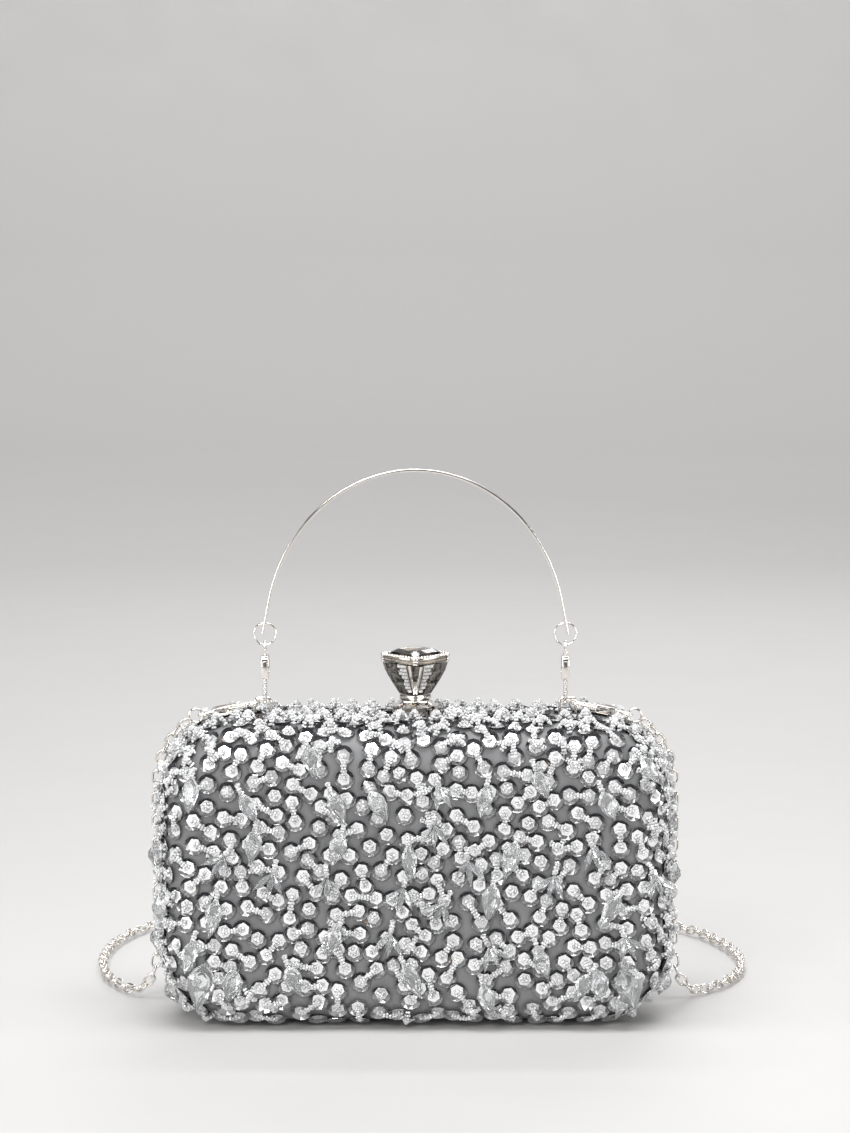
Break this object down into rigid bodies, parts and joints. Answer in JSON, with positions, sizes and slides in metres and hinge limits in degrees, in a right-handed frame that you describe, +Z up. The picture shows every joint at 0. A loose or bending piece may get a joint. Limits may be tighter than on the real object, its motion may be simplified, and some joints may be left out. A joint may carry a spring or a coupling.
{
  "type": "evening bag",
  "caption": "Hard-sided evening bag: hinged pillow-shaped box with a beaded cover, metal frame, jewelled knob clasp, arched handle on swivel clasps and a chain strap.",
  "frame": {"origin": "middle of the bag's bottom, on the surface it stands on", "axes": "+Z up, -Y the front that opens, +X to the right seen from the front"},
  "size_m": [0.2715, 0.2054, 0.2174],
  "materials": {
    "silver_metal": "polished silver-coloured plating with a slightly warm tint",
    "chain_metal": "polished silver-coloured chain",
    "beaded_satin": "grey satin, closely embroidered",
    "shell_board": "matt moulded shell",
    "lining_satin": "smooth grey satin",
    "crystal": "clear cut crystal",
    "sequin_silver": "silver cup sequins, mirror bright",
    "seed_bead": "silver-lined clear seed beads"
  },
  "bodies": {
    "back_half": {"back_shell": "shell_board", "back_beaded_cover": "beaded_satin", "back_frame": "silver_metal", "back_lining": "lining_satin", "rear_hinge_leaf": "silver_metal", "hinge_pin": "silver_metal", "latch_base": "silver_metal", "latch_pin": "silver_metal", "latch_spring": "silver_metal", "left_staple": "silver_metal", "right_staple": "silver_metal", "left_chain_clasp_body": "silver_metal", "left_chain_clasp_swivel": "silver_metal", "right_chain_clasp_body": "silver_metal", "right_chain_clasp_swivel": "silver_metal", "left_end_ring": "silver_metal", "right_end_ring": "silver_metal", "chain_strap": "chain_metal"},
    "front_half": {"front_shell": "shell_board", "front_beaded_cover": "beaded_satin", "front_frame": "silver_metal", "front_lining": "lining_satin", "front_hinge_leaf": "silver_metal", "catch_plate": "silver_metal"},
    "knob": {"latch_stem": "silver_metal", "knob_collar": "silver_metal", "knob_basket": "silver_metal", "knob_girdle": "silver_metal", "knob_crystal": "crystal"},
    "left_swivel": {"left_handle_clasp_swivel": "silver_metal"},
    "right_swivel": {"right_handle_clasp_swivel": "silver_metal"},
    "left_clasp": {"left_handle_clasp_body": "silver_metal"},
    "right_clasp": {"right_handle_clasp_body": "silver_metal"},
    "left_clasp_trigger": {"left_handle_clasp_trigger": "silver_metal"},
    "right_clasp_trigger": {"right_handle_clasp_trigger": "silver_metal"},
    "left_ring": {"left_jump_ring": "silver_metal"},
    "right_ring": {"right_jump_ring": "silver_metal"},
    "handle": {"handle_band": "silver_metal"},
    "left_chain_trigger": {"left_chain_clasp_trigger": "silver_metal"},
    "right_chain_trigger": {"right_chain_clasp_trigger": "silver_metal"}
  },
  "joints": [
    {"name": "front_opening", "type": "hinge", "parent": "back_half", "child": "front_half", "pos_m": [0, 0, 0.0017], "axis": [1, 0, 0], "range_deg": [0, 70]},
    {"name": "knob_tilt", "type": "hinge", "parent": "back_half", "child": "knob", "pos_m": [0, 0.0044, 0.1216], "axis": [-1, 0, 0], "range_deg": [0, 15], "stiffness_Nm_per_rad": 0.08, "springref_deg": -17.19},
    {"name": "left_clasp_swing", "type": "hinge", "parent": "back_half", "child": "left_swivel", "pos_m": [-0.0592, 0.0016, 0.1264], "axis": [1, 0, 0], "range_deg": [-80, 80]},
    {"name": "right_clasp_swing", "type": "hinge", "parent": "back_half", "child": "right_swivel", "pos_m": [0.0592, 0.0016, 0.1264], "axis": [1, 0, 0], "range_deg": [-80, 80]},
    {"name": "left_clasp_spin", "type": "hinge", "parent": "left_swivel", "child": "left_clasp", "pos_m": [-0.0592, 0.0016, 0.14], "axis": [0, 0, 1], "range_deg": [-8, 8]},
    {"name": "right_clasp_spin", "type": "hinge", "parent": "right_swivel", "child": "right_clasp", "pos_m": [0.0592, 0.0016, 0.14], "axis": [0, 0, 1], "range_deg": [-8, 8]},
    {"name": "left_trigger_pull", "type": "hinge", "parent": "left_clasp", "child": "left_clasp_trigger", "pos_m": [-0.0592, 0.0036, 0.1364], "axis": [-1, 0, 0], "range_deg": [0, 15], "stiffness_Nm_per_rad": 0.002, "springref_deg": -17.19},
    {"name": "right_trigger_pull", "type": "hinge", "parent": "right_clasp", "child": "right_clasp_trigger", "pos_m": [0.0592, 0.0036, 0.1364], "axis": [-1, 0, 0], "range_deg": [0, 15], "stiffness_Nm_per_rad": 0.002, "springref_deg": -17.19},
    {"name": "left_ring_swing", "type": "hinge", "parent": "left_swivel", "child": "left_ring", "pos_m": [-0.0592, 0.0016, 0.1477], "axis": [1, 0, 0], "range_deg": [-25, 25]},
    {"name": "right_ring_swing", "type": "hinge", "parent": "right_swivel", "child": "right_ring", "pos_m": [0.0592, 0.0016, 0.1477], "axis": [1, 0, 0], "range_deg": [-25, 25]},
    {"name": "handle_swing", "type": "hinge", "parent": "left_ring", "child": "handle", "pos_m": [-0.0592, 0.0016, 0.1562], "axis": [1, 0, 0], "range_deg": [-25, 25]},
    {"name": "left_chain_trigger_pull", "type": "hinge", "parent": "back_half", "child": "left_chain_trigger", "pos_m": [-0.07313, -0.0004, 0.12232], "axis": [-0.2079, 0, 0.9781], "range_deg": [0, 15], "stiffness_Nm_per_rad": 0.002, "springref_deg": -17.19},
    {"name": "right_chain_trigger_pull", "type": "hinge", "parent": "back_half", "child": "right_chain_trigger", "pos_m": [0.07313, 0.0036, 0.12232], "axis": [0.2079, 0, 0.9781], "range_deg": [0, 15], "stiffness_Nm_per_rad": 0.002, "springref_deg": -17.19}
  ],
  "couplings": [
    {"joint": "right_clasp_swing", "follows": "left_clasp_swing", "ratio": 1},
    {"joint": "right_ring_swing", "follows": "left_ring_swing", "ratio": 1}
  ]
}
